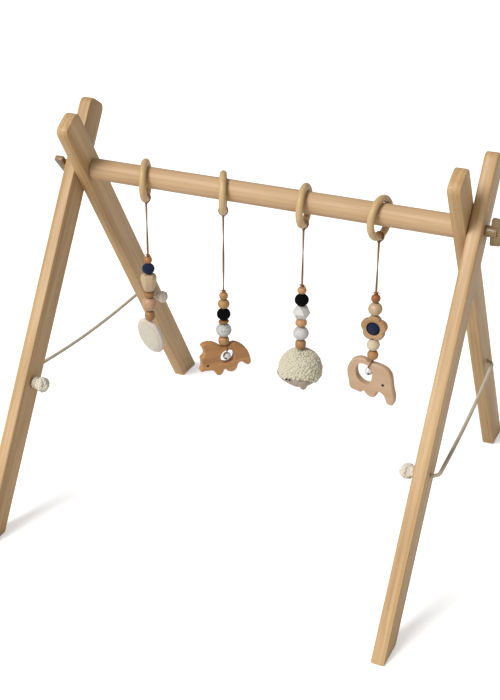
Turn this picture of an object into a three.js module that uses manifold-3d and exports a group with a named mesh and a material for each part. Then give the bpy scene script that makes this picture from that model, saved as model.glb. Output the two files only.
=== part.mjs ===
// Wooden activity play gym: two folding A-frames, a round crossbar and four hanging toys.
// Millimetres, +Z up, X along the crossbar, -Y to the front.
// The origin is on the floor, midway between the four feet.
import * as THREE from "three";
import { mergeVertices } from "three/addons/utils/BufferGeometryUtils.js";
import Module from "manifold-3d";

const GAP = 0.3; // air left between pieces that touch

// ---- Frame ----
const BAR_HEIGHT = 430; // crossbar axis above the floor
const BAR_RADIUS = 14;
const LEG_ANGLE = THREE.MathUtils.degToRad(32); // lean of each leg from the vertical
const LEG_WIDTH = 38;
const LEG_THICKNESS = 16.5;
const LEG_OVERHANG = 91; // leg length above the crossbar axis
const LEG_GAP = 0.5; // between the two legs of one A-frame
const LEG_EDGE = 2; // rounding along the leg edges
const LEG_TOP_RADIUS = 11;
const LEG_FOOT_RADIUS = 2.5;
const BACK_INNER_FACE = 246.5; // distance from the middle to the inner leg's inner face
const FRONT_INNER_FACE = BACK_INNER_FACE + LEG_THICKNESS + LEG_GAP;
const OUTER_FACE = FRONT_INNER_FACE + LEG_THICKNESS;

// ---- Clamping stud and wooden wing nut ----
const STUD_RADIUS = 3;
const STUD_HOLE = STUD_RADIUS + GAP;
const STUD_DEPTH_IN_BAR = 28;
const NUT_HUB_RADIUS = 6.8;
const NUT_HUB_LENGTH = 14;
const NUT_BORE_DEPTH = 12.5;
const NUT_WING_START = 6.5; // from the hub's inner end
const NUT_WING_LENGTH = 13;
const NUT_WING_SPAN = 34;
const NUT_WING_THICKNESS = 7.6;
const NUT_CORNER = 2.5;
const NUT_TURN = { left: 42, right: 0 }; // degrees the wings are turned from the vertical

// ---- Rope ----
const ROPE_RADIUS = 2.5;
const ROPE_HOLE = 3.3;
const ROPE_HEIGHT = 182;
const ROPE_STEPS = 44;
const KNOT_HALF = { x: 12.2, y: 10, z: 10 };
const TIGHT_KNOT_HALF = { x: 2, y: 5.6, z: 5.6 }; // the right-hand rope's back end, drawn up tight
// Right-hand rope, from the front leg's inner face to the back leg's; the left one mirrors it.
const ROPE_ROUTE = [
  [263.5, -155, 182],
  [270.5, -155, 182],
  [277.5, -155, 182],
  [282.6, -153.9, 181.9],
  [286.4, -150.8, 181.8],
  [288.3, -146.3, 181.5],
  [288.2, -138, 180.8],
  [286.6, -110, 178.6],
  [284.5, -75, 176.3],
  [282.3, -38, 174.8],
  [280.1, 0, 174.2],
  [277.9, 38, 174.8],
  [275.7, 75, 176.3],
  [273.6, 110, 178.6],
  [272, 137, 180.8],
  [271.3, 146.3, 181.5],
  [269.4, 150.8, 181.8],
  [265.6, 153.9, 181.9],
  [261, 155, 182],
  [253.5, 155, 182],
  [246.5, 155, 182],
];

// ---- Rings and cords ----
const RING_MIDLINE = 23.8;
const RING_TUBE = 4.6;
const RING_HEIGHT = BAR_HEIGHT + BAR_RADIUS + GAP - (RING_MIDLINE - RING_TUBE);
const CORD_RADIUS = 1;
const LOOP_TUBE = 1.1;
const LOOP_MIDLINE = RING_TUBE + GAP + LOOP_TUBE;
const CORD_TOP = RING_HEIGHT - RING_MIDLINE - LOOP_MIDLINE - LOOP_TUBE - GAP;
const BEAD_BORE = CORD_RADIUS + GAP;

// ---- Finishes: colour, roughness, metalness ----
const FINISH = {
  beech: [0xd6b48c, 0.6, 0],
  pale_wood: [0xdfc594, 0.55, 0],
  nut_wood: [0x9c8260, 0.55, 0],
  steel: [0xb5b5b2, 0.35, 1],
  rope: [0xc9c0ae, 0.95, 0],
  waxed_cord: [0x8a6240, 0.7, 0],
  tan_wood: [0xcf9a64, 0.5, 0],
  brown_wood: [0xa8683c, 0.5, 0],
  cream_wood: [0xe3d0a8, 0.55, 0],
  blush_wood: [0xd3a585, 0.6, 0],
  navy_silicone: [0x28345a, 0.6, 0],
  black_silicone: [0x101014, 0.55, 0],
  white_silicone: [0xe9e7e2, 0.6, 0],
  speckled: [0xdcdad4, 0.85, 0],
  animal_wood: [0xb98557, 0.5, 0],
  elephant_wood: [0xc9a888, 0.55, 0],
  plush: [0xd8d0c0, 1, 0],
  crochet: [0xd9cbb2, 1, 0],
  bell: [0xe4e6ea, 0.4, 0.2],
};

const wasm = await Module();
wasm.setup();
const root = new THREE.Group();

function material(name) {
  const [color, roughness, metalness] = FINISH[name];
  return new THREE.MeshStandardMaterial({ color, roughness, metalness });
}

function add(name, geometry, finish, parent = root) {
  const mesh = new THREE.Mesh(geometry, material(finish));
  mesh.name = name;
  parent.add(mesh);
  return mesh;
}

// ---- Solid booleans ----
function toSolid(geometry) {
  const bare = geometry.clone();
  bare.deleteAttribute("normal");
  bare.deleteAttribute("uv");
  const merged = mergeVertices(bare, 1e-4);
  return new wasm.Manifold(
    new wasm.Mesh({
      numProp: 3,
      vertProperties: merged.attributes.position.array,
      triVerts: new Uint32Array(merged.index.array),
    }),
  );
}

function toGeometry(solid) {
  const mesh = solid.getMesh();
  const positions = new Float32Array(mesh.numVert * 3);
  for (let i = 0; i < mesh.numVert; i++) {
    positions.set(mesh.vertProperties.subarray(i * mesh.numProp, i * mesh.numProp + 3), i * 3);
  }
  const geometry = new THREE.BufferGeometry();
  geometry.setAttribute("position", new THREE.BufferAttribute(positions, 3));
  geometry.setIndex(new THREE.BufferAttribute(mesh.triVerts, 1));
  return geometry;
}

function cut(base, ...tools) {
  return toGeometry(tools.reduce((solid, tool) => solid.subtract(toSolid(tool)), toSolid(base)));
}

function join(base, ...others) {
  return toGeometry(others.reduce((solid, other) => solid.add(toSolid(other)), toSolid(base)));
}

// ---- Shape helpers ----
// A vertical cylinder from one height to another, on the axis of the local frame.
function verticalRod(radius, low, high, sides) {
  const rod = new THREE.CylinderGeometry(radius, radius, high - low, sides);
  rod.rotateX(Math.PI / 2);
  rod.translate(0, 0, (low + high) / 2);
  return rod;
}

// A cylinder along X from one place to another.
function sidewaysRod(radius, from, to, sides) {
  const rod = new THREE.CylinderGeometry(radius, radius, Math.abs(to - from), sides);
  rod.rotateZ(Math.PI / 2);
  rod.translate((from + to) / 2, 0, 0);
  return rod;
}

// The directions from one corner of a polygon to its neighbours, and half the angle between them.
function cornerOf(points, i) {
  const before = points[(i + points.length - 1) % points.length];
  const after = points[(i + 1) % points.length];
  const toBefore = before.clone().sub(points[i]).normalize();
  const toAfter = after.clone().sub(points[i]).normalize();
  return { toBefore, toAfter, half: toBefore.angleTo(toAfter) / 2 };
}

// A convex polygon with rounded corners, drawn inside the finished outline by the edge rounding.
function roundedPolygon(points, radii, edge) {
  const drawnIn = points.map((point, i) => {
    const { toBefore, toAfter, half } = cornerOf(points, i);
    return point.clone().addScaledVector(toBefore.add(toAfter).normalize(), edge / Math.sin(half));
  });
  const shape = new THREE.Shape();
  drawnIn.forEach((point, i) => {
    const { toBefore, toAfter, half } = cornerOf(drawnIn, i);
    const trim = (radii[i] - edge) / Math.tan(half);
    const start = point.clone().addScaledVector(toBefore, trim);
    const end = point.clone().addScaledVector(toAfter, trim);
    if (i === 0) {
      shape.moveTo(start.x, start.y);
    } else {
      shape.lineTo(start.x, start.y);
    }
    shape.quadraticCurveTo(point.x, point.y, end.x, end.y);
  });
  shape.closePath();
  return shape;
}

// Extrudes a shape, rounding its outer edges. The rounding grows the outline by the edge size,
// less the inset.
function slab(shape, thickness, edge, curveSegments, inset = 0) {
  const geometry = new THREE.ExtrudeGeometry(shape, {
    depth: thickness - 2 * edge,
    bevelEnabled: edge > 0,
    bevelThickness: edge,
    bevelSize: edge,
    bevelOffset: -inset,
    bevelSegments: inset > 0 ? 1 : 2,
    curveSegments,
  });
  geometry.translate(0, 0, edge);
  return geometry;
}

// Turns a slab drawn in the XY plane so that it stands in the YZ plane, its thickness along X.
function standAcross(geometry) {
  const turn = new THREE.Matrix4().makeBasis(
    new THREE.Vector3(0, 1, 0),
    new THREE.Vector3(0, 0, 1),
    new THREE.Vector3(1, 0, 0),
  );
  return geometry.applyMatrix4(turn);
}

// Turns a slab drawn in the XY plane so that it stands in the XZ plane, centred on Y = 0.
function standFacing(geometry, thickness) {
  geometry.rotateX(Math.PI / 2);
  geometry.translate(0, thickness / 2, 0);
  return geometry;
}

// ---- Legs ----
// lean is +1 for a front leg, whose top leans back, and -1 for a back leg.
function legGeometry(lean, innerFace) {
  const up = new THREE.Vector2(lean * Math.sin(LEG_ANGLE), Math.cos(LEG_ANGLE));
  const across = new THREE.Vector2(-Math.cos(LEG_ANGLE), lean * Math.sin(LEG_ANGLE));
  const pivot = new THREE.Vector2(0, BAR_HEIGHT);
  const place = (along, side) =>
    pivot.clone().addScaledVector(up, along).addScaledVector(across, side);
  const foot = (side) => place(-(BAR_HEIGHT + across.y * side) / up.y, side);
  const half = LEG_WIDTH / 2;
  const corners = [
    foot(half),
    place(LEG_OVERHANG, half),
    place(LEG_OVERHANG, -half),
    foot(-half),
  ];
  const radii = [LEG_FOOT_RADIUS, LEG_TOP_RADIUS, LEG_TOP_RADIUS, LEG_FOOT_RADIUS];
  const shape = roundedPolygon(corners, radii, LEG_EDGE);
  const body = standAcross(slab(shape, LEG_THICKNESS, LEG_EDGE, 4));
  const margin = 5;
  const pivotHole = sidewaysRod(STUD_HOLE, -margin, LEG_THICKNESS + margin, 20);
  pivotHole.translate(0, 0, BAR_HEIGHT);
  const ropeHole = sidewaysRod(ROPE_HOLE, -margin, LEG_THICKNESS + margin, 16);
  const ropePlace = place(-(BAR_HEIGHT - ROPE_HEIGHT) / up.y, 0);
  ropeHole.translate(0, ropePlace.x, ROPE_HEIGHT);
  const geometry = cut(body, pivotHole, ropeHole);
  geometry.translate(innerFace, 0, 0);
  return geometry;
}

// Mirrors a right-hand piece to the left, keeping its faces turned outwards.
function mirrored(geometry) {
  const copy = geometry.clone();
  copy.scale(-1, 1, 1);
  const index = copy.index.array;
  for (let i = 0; i < index.length; i += 3) {
    [index[i + 1], index[i + 2]] = [index[i + 2], index[i + 1]];
  }
  return copy;
}

function addPair(name, geometry, finish) {
  add(`right_${name}`, geometry, finish);
  add(`left_${name}`, mirrored(geometry), finish);
}

addPair("front_leg", legGeometry(1, FRONT_INNER_FACE), "beech");
addPair("back_leg", legGeometry(-1, BACK_INNER_FACE), "beech");

// ---- Crossbar, with a blind hole in each end for its stud ----
function crossbarGeometry() {
  const end = BACK_INNER_FACE - GAP;
  const edge = 1;
  const holeEnd = end - STUD_DEPTH_IN_BAR - 1;
  const profile = [
    [0, -holeEnd],
    [STUD_HOLE, -holeEnd],
    [STUD_HOLE, -end],
    [BAR_RADIUS - edge, -end],
    [BAR_RADIUS, edge - end],
    [BAR_RADIUS, end - edge],
    [BAR_RADIUS - edge, end],
    [STUD_HOLE, end],
    [STUD_HOLE, holeEnd],
    [0, holeEnd],
  ].map(([radius, along]) => new THREE.Vector2(radius, along));
  const bar = new THREE.LatheGeometry(profile, 28);
  bar.rotateZ(-Math.PI / 2);
  bar.translate(0, 0, BAR_HEIGHT);
  return bar;
}

add("crossbar", crossbarGeometry(), "beech");

// ---- Studs and wing nuts ----
function studGeometry() {
  const from = BACK_INNER_FACE - GAP - STUD_DEPTH_IN_BAR;
  const to = OUTER_FACE + NUT_BORE_DEPTH - 1;
  const stud = sidewaysRod(STUD_RADIUS, from, to, 16);
  stud.translate(0, 0, BAR_HEIGHT);
  return mergeVertices(stud);
}

function wingNutGeometry(turnDegrees) {
  const start = OUTER_FACE + GAP;
  const hub = sidewaysRod(NUT_HUB_RADIUS, start, start + NUT_HUB_LENGTH, 20);
  const wingStart = start + NUT_WING_START;
  const wingEnd = wingStart + NUT_WING_LENGTH;
  const half = NUT_WING_SPAN / 2;
  const corners = [
    new THREE.Vector2(wingStart, -half),
    new THREE.Vector2(wingEnd, 1 - half),
    new THREE.Vector2(wingEnd, half - 1),
    new THREE.Vector2(wingStart, half),
  ];
  const outline = roundedPolygon(corners, [NUT_CORNER, NUT_CORNER, NUT_CORNER, NUT_CORNER], 1.5);
  const wings = standFacing(slab(outline, NUT_WING_THICKNESS, 1.5, 3), NUT_WING_THICKNESS);
  const bore = sidewaysRod(STUD_HOLE, start - 1, start + NUT_BORE_DEPTH, 16);
  const nut = cut(join(hub, wings), bore);
  nut.rotateX(THREE.MathUtils.degToRad(turnDegrees));
  nut.translate(0, 0, BAR_HEIGHT);
  return nut;
}

addPair("stud", studGeometry(), "steel");
add("right_wing_nut", wingNutGeometry(NUT_TURN.right), "nut_wood");
add("left_wing_nut", mirrored(wingNutGeometry(NUT_TURN.left)), "nut_wood");

// ---- Spreader ropes and their knots ----
function tubeAlong(points, radius, sides, steps) {
  const circle = new THREE.Shape();
  circle.absarc(0, 0, radius, 0, Math.PI * 2);
  const curve = new THREE.CatmullRomCurve3(points.map((p) => new THREE.Vector3(...p)));
  const tube = new THREE.ExtrudeGeometry(circle, {
    extrudePath: curve,
    steps,
    curveSegments: sides / 2,
    bevelEnabled: false,
  });
  tube.deleteAttribute("normal");
  tube.deleteAttribute("uv");
  return mergeVertices(tube, 1e-4);
}

function knotGeometry(face, y, half = KNOT_HALF) {
  const knot = new THREE.SphereGeometry(1, 12, 8);
  knot.scale(half.x, half.y, half.z);
  knot.translate(face - GAP - half.x, y, ROPE_HEIGHT);
  return knot;
}

const [ropeFront, ropeBack] = [ROPE_ROUTE[0], ROPE_ROUTE[ROPE_ROUTE.length - 1]];
addPair("spreader_rope", tubeAlong(ROPE_ROUTE, ROPE_RADIUS, 8, ROPE_STEPS), "rope");
addPair("front_rope_knot", knotGeometry(FRONT_INNER_FACE, ropeFront[1]), "rope");
add("left_back_rope_knot", mirrored(knotGeometry(BACK_INNER_FACE, ropeBack[1])), "rope");
add("right_back_rope_knot", knotGeometry(BACK_INNER_FACE, ropeBack[1], TIGHT_KNOT_HALF), "rope");

// ---- Beads: turned about the cord, each with a bore for it ----
const BEAD_SIDES = 10;

function lathed(outer, sides) {
  const low = outer[0][1];
  const profile = [...outer, [BEAD_BORE, outer[outer.length - 1][1]], [BEAD_BORE, low]];
  const points = profile.map(([radius, height]) => new THREE.Vector2(radius, height));
  points.push(points[0].clone());
  const bead = new THREE.LatheGeometry(points, sides);
  bead.rotateX(Math.PI / 2);
  return bead;
}

// A round bead of any width and height, with a small flat at each end of its bore.
function roundBead(width, height) {
  const flat = BEAD_BORE + 0.9;
  const reach = Math.acos(flat / (width / 2));
  const outer = [];
  const steps = 5;
  for (let i = 0; i <= steps; i++) {
    const angle = -reach + (2 * reach * i) / steps;
    outer.push([
      (Math.cos(angle) * width) / 2,
      ((Math.sin(angle) / Math.sin(reach)) * height) / 2,
    ]);
  }
  return lathed(outer, BEAD_SIDES);
}

function discBead(width, height) {
  const edge = height * 0.35;
  const radius = width / 2;
  return lathed(
    [
      [radius - edge, -height / 2],
      [radius, edge - height / 2],
      [radius, height / 2 - edge],
      [radius - edge, height / 2],
    ],
    BEAD_SIDES,
  );
}

// A faceted bead: a belt of flat faces between two slanting ones.
function facetedBead(width, height, endShare, beltShare, sides) {
  const radius = width / 2;
  const belt = (height * beltShare) / 2;
  return lathed(
    [
      [radius * endShare, -height / 2],
      [radius, -belt],
      [radius, belt],
      [radius * endShare, height / 2],
    ],
    sides,
  );
}

const BEADS = {
  round: roundBead,
  disc: discBead,
  barrel: (width, height) => facetedBead(width, height, 0.66, 0.42, 9),
  gem: (width, height) => facetedBead(width, height, 0.5, 0.12, 8),
};

// ---- Charms: the piece at the end of each toy, hung from the local origin ----
const PLATE_THICKNESS = 10;

function closedSpline(points) {
  const shape = new THREE.Shape();
  const [first, ...rest] = points.map(([x, z]) => new THREE.Vector2(x, z));
  shape.moveTo(first.x, first.y);
  shape.splineThru([...rest, first]);
  return shape;
}

function plate(outline, hole) {
  const edge = 1.5;
  const tall = PLATE_THICKNESS + 4;
  const body = standFacing(slab(outline, PLATE_THICKNESS, edge, 2, edge), PLATE_THICKNESS);
  return cut(body, standFacing(slab(hole, tall, 0, 2), tall));
}

// Elephant facing right, nose down: outline, and the teardrop hole behind its shoulder.
function elephantGeometry() {
  const outline = [
    [0, -0.4],
    [-3.5, 0.6],
    [-8, 3.6],
    [-16, 4.5],
    [-24.5, 1],
    [-28.5, -4],
    [-31.6, -13],
    [-31.4, -22],
    [-29.2, -31],
    [-26.8, -41],
    [-19.5, -43.4],
    [-12.3, -45],
    [-9, -41.6],
    [-5.4, -45],
    [-1.8, -48.2],
    [5, -48.6],
    [8.6, -45.5],
    [9.6, -41],
    [13.4, -39.5],
    [18, -42.5],
    [21, -47.5],
    [23, -53],
    [27.5, -55.2],
    [32.2, -53.6],
    [33.4, -43],
    [30.6, -32],
    [28.8, -20],
    [26.5, -11.5],
    [21, -5],
    [13, -1.8],
    [5, -0.5],
  ];
  const hole = [
    [-9.5, -2.6],
    [-15.3, -3.4],
    [-19.2, -7.5],
    [-20.2, -14.5],
    [-18.4, -22.3],
    [-13.6, -28.2],
    [-7.5, -31],
    [-2.4, -31],
    [0.4, -27],
    [1.9, -20.5],
    [1.8, -13.5],
    [-0.4, -8],
    [-4.5, -4.2],
  ];
  return plate(closedSpline(outline), closedSpline(hole));
}

// Horned dinosaur facing left, with a round hole in its body.
function dinosaurGeometry() {
  const outline = [
    [0, -1.6],
    [-4.5, -0.6],
    [-8.5, 2.2],
    [-13.5, 5.4],
    [-20, 7.8],
    [-28, 7.8],
    [-33.2, 4.6],
    [-30.6, 0],
    [-29, -5],
    [-30, -9.5],
    [-34, -13.5],
    [-32.8, -19],
    [-32.6, -26],
    [-34.8, -30.5],
    [-33, -34],
    [-28, -33.6],
    [-20.5, -34],
    [-15.2, -35.6],
    [-12, -41],
    [-8, -43.6],
    [-3.4, -41.8],
    [-1.2, -37],
    [1.2, -35.2],
    [4, -38.4],
    [8.5, -40.6],
    [13, -40.4],
    [17, -37.5],
    [19.2, -31],
    [23.6, -27.8],
    [29, -31.6],
    [34, -34.4],
    [37.4, -31.6],
    [37.2, -26],
    [35, -17.5],
    [30.9, -9.5],
    [24, -2.5],
    [15, 2.4],
    [8.5, 1.4],
    [4, -0.9],
  ];
  const hole = [];
  const steps = 12;
  for (let i = 0; i < steps; i++) {
    const angle = (Math.PI * 2 * i) / steps;
    hole.push([4 + 10.3 * Math.cos(angle), -16.5 + 10.3 * Math.sin(angle)]);
  }
  return plate(closedSpline(outline), closedSpline(hole));
}

// Flat stuffed pad, an oval that leans down to the right.
function plushGeometry() {
  const half = { long: 27.5, short: 18.3, thick: 8 };
  const pad = new THREE.SphereGeometry(1, 16, 10);
  pad.scale(half.long, half.thick, half.short);
  pad.rotateY(THREE.MathUtils.degToRad(53));
  const drop = 23.2; // from the cord down to the pad's middle
  const shift = 1.2; // the pad's middle is a little beside the cord
  pad.translate(shift, 0, -drop);
  return pad;
}

function sheepGeometry() {
  const radius = 29.5;
  const ball = new THREE.SphereGeometry(radius, 16, 12);
  ball.scale(1, 0.97, 1);
  ball.translate(0, 0, -radius);
  return ball;
}

// A jingle bell with the eye that it hangs by; the local origin is the eye's top.
function bellGeometry({ radius, stem }) {
  const overlap = 0.6;
  const ball = new THREE.SphereGeometry(radius, 12, 8);
  ball.rotateX(Math.PI / 2);
  ball.translate(0, 0, overlap - stem - radius);
  return join(ball, verticalRod(1.2, -stem, 0, 8));
}

// Flower ring with five petals: its middle hole holds a bead, and a bore takes the cord.
const FLOWER = { tip: 17.4, valley: 14.2, hole: 8.9, thickness: 9.5, petals: 5 };
const FLOWER_HEIGHT = FLOWER.tip + 16; // from the top petal down to the next bead

function flowerGeometry() {
  const points = [];
  const steps = 40;
  for (let i = 0; i < steps; i++) {
    const angle = (Math.PI * 2 * i) / steps;
    const wave = Math.abs(Math.cos((FLOWER.petals * (angle - Math.PI / 2)) / 2));
    const radius = FLOWER.valley + (FLOWER.tip - FLOWER.valley) * Math.pow(wave, 0.8);
    points.push(new THREE.Vector2(radius * Math.cos(angle), radius * Math.sin(angle)));
  }
  const petals = slab(new THREE.Shape(points), FLOWER.thickness, 2, 1, 2);
  const body = standFacing(petals, FLOWER.thickness);
  const hole = new THREE.CylinderGeometry(FLOWER.hole, FLOWER.hole, FLOWER.thickness + 4, 16);
  const bore = verticalRod(BEAD_BORE, -FLOWER.tip - 2, FLOWER.tip + 2, 10);
  return cut(body, hole, bore);
}

// ---- Toys ----
// Each bead is [name, kind, width, height, finish], from the top down.
const TOYS = [
  {
    name: "toy1",
    x: -169.5,
    ringTurn: 19,
    top: 318.2,
    beads: [
      ["bead_1_caramel", "round", 11, 10, "brown_wood"],
      ["bead_2_navy", "round", 17, 14.8, "navy_silicone"],
      ["bead_3_barrel", "barrel", 22.4, 26, "cream_wood"],
      ["bead_4_disc", "disc", 15.2, 7.4, "brown_wood"],
      ["bead_5_blush", "round", 20.6, 20.8, "blush_wood"],
      ["bead_6_brown", "round", 14.2, 14, "brown_wood"],
    ],
    charm: { name: "plush_pad", geometry: plushGeometry(), finish: "plush", turn: 6 },
  },
  {
    name: "toy2",
    x: -57.8,
    ringTurn: 23,
    top: 287,
    beads: [
      ["bead_1_tan", "round", 11.9, 10.5, "tan_wood"],
      ["bead_2_tan", "round", 15.9, 12.5, "tan_wood"],
      ["bead_3_black", "round", 18.4, 16.4, "black_silicone"],
      ["bead_4_disc", "disc", 14.2, 5, "brown_wood"],
      ["bead_5_speckled", "round", 21, 19, "speckled"],
      ["bead_6_tan", "round", 14.8, 12, "tan_wood"],
    ],
    charm: {
      name: "wooden_dinosaur",
      geometry: dinosaurGeometry(),
      finish: "animal_wood",
      turn: 45,
      bell: { at: [4.2, -6.9], radius: 5.3, stem: 5.8 },
    },
  },
  {
    name: "toy3",
    x: 52.8,
    ringTurn: 7,
    top: 315.5,
    beads: [
      ["bead_1_tan", "round", 12, 9.8, "tan_wood"],
      ["bead_2_black", "round", 18.5, 16.2, "black_silicone"],
      ["bead_3_gem", "gem", 24.2, 18, "white_silicone"],
      ["bead_4_tan", "round", 15.3, 11.4, "tan_wood"],
      ["bead_5_speckled", "round", 20.6, 18, "speckled"],
      ["bead_6_brown", "round", 14.2, 13.2, "brown_wood"],
    ],
    charm: { name: "crochet_sheep", geometry: sheepGeometry(), finish: "crochet", turn: 0 },
  },
  {
    name: "toy4",
    x: 151.5,
    ringTurn: -10,
    top: 323.8,
    beads: [
      ["bead_1_russet", "round", 11.9, 11, "brown_wood"],
      ["bead_2_cream", "round", 18, 17, "cream_wood"],
      ["flower", "flower", 2 * FLOWER.tip, FLOWER_HEIGHT, "tan_wood"],
      ["bead_3_cream", "round", 16.6, 15.4, "cream_wood"],
      ["bead_4_tan", "round", 14.2, 12.5, "tan_wood"],
    ],
    charm: {
      name: "wooden_elephant",
      geometry: elephantGeometry(),
      finish: "elephant_wood",
      turn: 0,
      drop: 3.4,
      bell: { at: [-4, -5.8], radius: 5.3, stem: 3.5 },
    },
  },
];

function addRing(toy) {
  const ring = new THREE.TorusGeometry(RING_MIDLINE, RING_TUBE, 8, 22);
  ring.rotateY(Math.PI / 2);
  const group = new THREE.Group();
  group.position.set(toy.x, 0, RING_HEIGHT);
  group.rotation.z = THREE.MathUtils.degToRad(toy.ringTurn);
  root.add(group);
  add(`${toy.name}_ring`, ring, "pale_wood", group);
  const loop = new THREE.TorusGeometry(LOOP_MIDLINE, LOOP_TUBE, 6, 14);
  loop.rotateX(Math.PI / 2);
  loop.translate(0, 0, -RING_MIDLINE);
  add(`${toy.name}_cord_loop`, loop, "waxed_cord", group);
}

function addBeads(toy, group) {
  let top = toy.top;
  for (const [name, kind, width, height, finish] of toy.beads) {
    if (kind === "flower") {
      const middle = top - FLOWER.tip;
      add(`${toy.name}_${name}`, flowerGeometry(), finish, group).position.z = middle;
      const centre = roundBead(16, 15.6);
      add(`${toy.name}_${name}_centre`, centre, "navy_silicone", group).position.z = middle;
    } else {
      const bead = BEADS[kind](width, height);
      add(`${toy.name}_${name}`, bead, finish, group).position.z = top - height / 2;
    }
    top -= height + GAP;
  }
  return top;
}

function addCharm(toy, group, top) {
  const { name, geometry, finish, turn, bell } = toy.charm;
  const holder = new THREE.Group();
  holder.position.z = top;
  holder.rotation.z = THREE.MathUtils.degToRad(turn);
  group.add(holder);
  add(`${toy.name}_${name}`, geometry, finish, holder);
  if (bell) {
    const mesh = add(`${toy.name}_bell`, bellGeometry(bell), "bell", holder);
    mesh.position.set(bell.at[0], 0, bell.at[1]);
  }
}

for (const toy of TOYS) {
  addRing(toy);
  const group = new THREE.Group();
  group.position.x = toy.x;
  root.add(group);
  const charmTop = addBeads(toy, group) - (toy.charm.drop ?? 0);
  add(`${toy.name}_cord`, verticalRod(CORD_RADIUS, charmTop, CORD_TOP, 8), "waxed_cord", group);
  addCharm(toy, group, charmTop - GAP);
}

export default root;
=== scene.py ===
import math
import random

import bpy
from mathutils import Matrix, Vector, noise
from mathutils.bvhtree import BVHTree


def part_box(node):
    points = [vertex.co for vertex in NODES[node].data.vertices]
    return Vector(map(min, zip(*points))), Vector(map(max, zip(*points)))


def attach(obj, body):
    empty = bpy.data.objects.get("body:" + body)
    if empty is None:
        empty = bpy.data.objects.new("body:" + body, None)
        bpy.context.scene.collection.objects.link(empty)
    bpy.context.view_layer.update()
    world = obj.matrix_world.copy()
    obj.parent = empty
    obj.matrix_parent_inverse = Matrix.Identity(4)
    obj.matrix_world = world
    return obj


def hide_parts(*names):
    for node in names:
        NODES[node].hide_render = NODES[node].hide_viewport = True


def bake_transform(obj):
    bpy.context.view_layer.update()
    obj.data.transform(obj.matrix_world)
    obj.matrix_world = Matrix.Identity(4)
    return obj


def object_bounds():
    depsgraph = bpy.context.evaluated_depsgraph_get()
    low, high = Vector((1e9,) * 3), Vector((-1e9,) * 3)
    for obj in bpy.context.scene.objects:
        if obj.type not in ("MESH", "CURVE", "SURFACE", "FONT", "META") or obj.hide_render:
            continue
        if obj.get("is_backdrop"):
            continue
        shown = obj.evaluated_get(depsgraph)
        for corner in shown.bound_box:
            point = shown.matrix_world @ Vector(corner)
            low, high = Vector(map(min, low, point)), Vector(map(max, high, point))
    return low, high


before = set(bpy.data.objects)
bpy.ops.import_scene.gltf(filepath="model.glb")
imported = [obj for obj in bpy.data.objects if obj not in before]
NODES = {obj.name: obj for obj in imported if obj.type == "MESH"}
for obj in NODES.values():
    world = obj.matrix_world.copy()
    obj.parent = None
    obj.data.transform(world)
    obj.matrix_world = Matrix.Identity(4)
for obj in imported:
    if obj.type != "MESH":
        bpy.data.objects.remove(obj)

CAD_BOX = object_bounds()
Z_AXIS = Vector((0, 0, 1))


def linked(name, data):
    """An object that holds the data, put in the scene."""
    made = bpy.data.objects.new(name, data)
    bpy.context.collection.objects.link(made)
    return made


def aim(angle, lift):
    """The direction at an angle round Z and a lift above the level."""
    return Vector((math.cos(lift) * math.cos(angle), math.cos(lift) * math.sin(angle), math.sin(lift)))


# ------ camera

CAMERA_PLACE = Vector((0.62071, -1.43309, 1.01264))
CAMERA_YAW = math.radians(26.263)
CAMERA_PITCH = math.radians(27.956)
CAMERA_ROLL = math.radians(-0.678)
LENS_MM, SENSOR_MM = 68.04, 36
LENS_SHIFT = (0.0643, 0.0286)


def place_camera():
    ahead = aim(CAMERA_YAW + math.pi / 2, -CAMERA_PITCH)
    level = Vector((math.cos(CAMERA_YAW), math.sin(CAMERA_YAW), 0))
    above = level.cross(ahead)
    right = math.cos(CAMERA_ROLL) * level + math.sin(CAMERA_ROLL) * above
    up = -math.sin(CAMERA_ROLL) * level + math.cos(CAMERA_ROLL) * above
    data = bpy.data.cameras.new("camera")
    data.lens, data.sensor_width = LENS_MM, SENSOR_MM
    data.shift_x, data.shift_y = LENS_SHIFT
    camera = linked("camera", data)
    turn = Matrix((right, up, -ahead)).transposed().to_4x4()
    camera.matrix_world = Matrix.Translation(CAMERA_PLACE) @ turn
    bpy.context.scene.camera = camera


place_camera()
bpy.context.scene.view_settings.view_transform = "Standard"

# ------ shapes


class Shape:
    """Gathers the points and faces of one piece; each face has a material number."""

    def __init__(self):
        self.points = []
        self.faces = []
        self.kinds = []

    def add(self, made, kind=0, place=None):
        points, faces = made
        base = len(self.points)
        self.points.extend((place @ Vector(p)) if place else Vector(p) for p in points)
        self.faces.extend([base + i for i in face] for face in faces)
        self.kinds.extend([kind] * len(faces))
        return self

    def piece(self, name, *materials):
        mesh = bpy.data.meshes.new(name)
        mesh.from_pydata([tuple(p) for p in self.points], [], self.faces)
        for material in materials:
            mesh.materials.append(MATERIALS[material])
        for polygon, kind in zip(mesh.polygons, self.kinds):
            polygon.use_smooth = True
            polygon.material_index = kind
        mesh.update()
        return linked(name, mesh)


def hand_over(piece, body, slot, node=None):
    """Hangs a piece on the body it rides on and hides the node it stands for. The slot, for what it is made
    of, is not used.
    """
    if node:
        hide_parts(node)
    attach(piece, body)
    return piece


def circle(count):
    """The angles of evenly spaced points round a full turn."""
    return [2 * math.pi * k / count for k in range(count)]


def polar(reach, angle, height=0.0):
    return Vector((reach * math.cos(angle), reach * math.sin(angle), height))


def ring_faces(rows, sides, closed=False):
    """The faces between rings of points; closed joins the last ring to the first."""
    faces = []
    for i in range(rows if closed else rows - 1):
        here, there = i * sides, ((i + 1) % rows) * sides
        for k in range(sides):
            after = (k + 1) % sides
            faces.append([here + k, here + after, there + after, there + k])
    return faces


def end_faces(rows, sides):
    """The flat faces that close the first ring and the last."""
    return [list(range(sides))[::-1], [(rows - 1) * sides + k for k in range(sides)]]


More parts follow.
